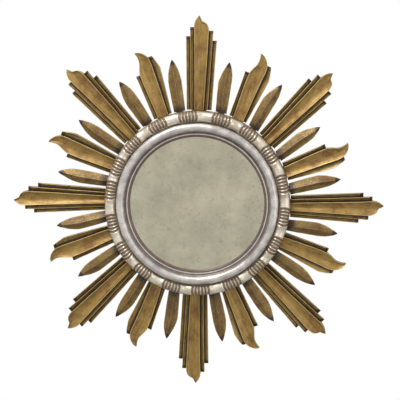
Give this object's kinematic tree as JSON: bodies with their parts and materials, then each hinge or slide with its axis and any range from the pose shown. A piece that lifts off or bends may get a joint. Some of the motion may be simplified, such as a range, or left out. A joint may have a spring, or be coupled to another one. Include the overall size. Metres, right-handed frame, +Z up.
{
  "type": "sunburst wall mirror",
  "caption": "Round wall mirror in a turned, silvered moulding and a carved band, ringed by gilded wooden sunburst rays.",
  "frame": {"origin": "middle of the mirror, on the plane of the wall that the felt pads touch", "axes": "+X to the viewer's right, +Z up; the glass looks along -Y and the wall is at y = 0"},
  "size_m": [0.7, 0.044, 0.7],
  "materials": {
    "gilt_wood": "carved wood, gilded, dark brown wax left in the hollows",
    "silvered_wood": "turned wood, silver leaf over red-brown bole, worn on the fillets",
    "silvered_band": "carved wood, silver leaf, brown wax in the gouge cuts",
    "bare_wood": "plain turned wood, stained and waxed",
    "mirror_glass": "plate glass, silvered at the back, softly foxed",
    "card": "grey-brown board, dull",
    "hardboard": "pressed fibre board, dull",
    "brass_screws": "bright turned brass",
    "brass_buttons": "stamped brass, satin",
    "steel": "zinc-plated strip and wire",
    "felt": "pressed wool felt, dull"
  },
  "bodies": {
    "frame": {"long_ray_1": "gilt_wood", "flame_ray_1": "gilt_wood", "leaf_ray_1": "gilt_wood", "twin_leaf_ray_1": "gilt_wood", "long_ray_2": "gilt_wood", "flame_ray_2": "gilt_wood", "leaf_ray_2": "gilt_wood", "twin_leaf_ray_2": "gilt_wood", "long_ray_3": "gilt_wood", "flame_ray_3": "gilt_wood", "leaf_ray_3": "gilt_wood", "twin_leaf_ray_3": "gilt_wood", "long_ray_4": "gilt_wood", "flame_ray_4": "gilt_wood", "leaf_ray_4": "gilt_wood", "twin_leaf_ray_4": "gilt_wood", "long_ray_5": "gilt_wood", "flame_ray_5": "gilt_wood", "leaf_ray_5": "gilt_wood", "twin_leaf_ray_5": "gilt_wood", "long_ray_6": "gilt_wood", "flame_ray_6": "gilt_wood", "leaf_ray_6": "gilt_wood", "twin_leaf_ray_6": "gilt_wood", "long_ray_7": "gilt_wood", "flame_ray_7": "gilt_wood", "leaf_ray_7": "gilt_wood", "twin_leaf_ray_7": "gilt_wood", "long_ray_8": "gilt_wood", "flame_ray_8": "gilt_wood", "leaf_ray_8": "gilt_wood", "twin_leaf_ray_8": "gilt_wood", "ray_screws": "brass_screws", "core_ring": "bare_wood", "sight_moulding": "silvered_wood", "carved_band": "silvered_band", "mirror_plate": "mirror_glass", "packing_card": "card", "back_board": "hardboard", "button_screws": "brass_screws", "hanger_strap": "steel", "strap_screws": "brass_screws", "wall_pads": "felt"},
    "hanging_ring": {"hanging_ring": "steel"},
    "turn_button_1": {"turn_button_1": "brass_buttons"},
    "turn_button_2": {"turn_button_2": "brass_buttons"},
    "turn_button_3": {"turn_button_3": "brass_buttons"},
    "turn_button_4": {"turn_button_4": "brass_buttons"}
  },
  "joints": [
    {"name": "ring_swing", "type": "hinge", "parent": "frame", "child": "hanging_ring", "pos_m": [0, -0.00212, 0.176], "axis": [1, 0, 0], "range_deg": [0, 180]},
    {"name": "button_1_turn", "type": "hinge", "parent": "frame", "child": "turn_button_1", "pos_m": [0.1378, -0.0172, 0], "axis": [0, 1, 0], "range_deg": [-90, 90]},
    {"name": "button_2_turn", "type": "hinge", "parent": "frame", "child": "turn_button_2", "pos_m": [0, -0.0172, 0.1378], "axis": [0, 1, 0], "range_deg": [-90, 90]},
    {"name": "button_3_turn", "type": "hinge", "parent": "frame", "child": "turn_button_3", "pos_m": [-0.1378, -0.0172, 0], "axis": [0, 1, 0], "range_deg": [-90, 90]},
    {"name": "button_4_turn", "type": "hinge", "parent": "frame", "child": "turn_button_4", "pos_m": [0, -0.0172, -0.1378], "axis": [0, 1, 0], "range_deg": [-90, 90]}
  ]
}
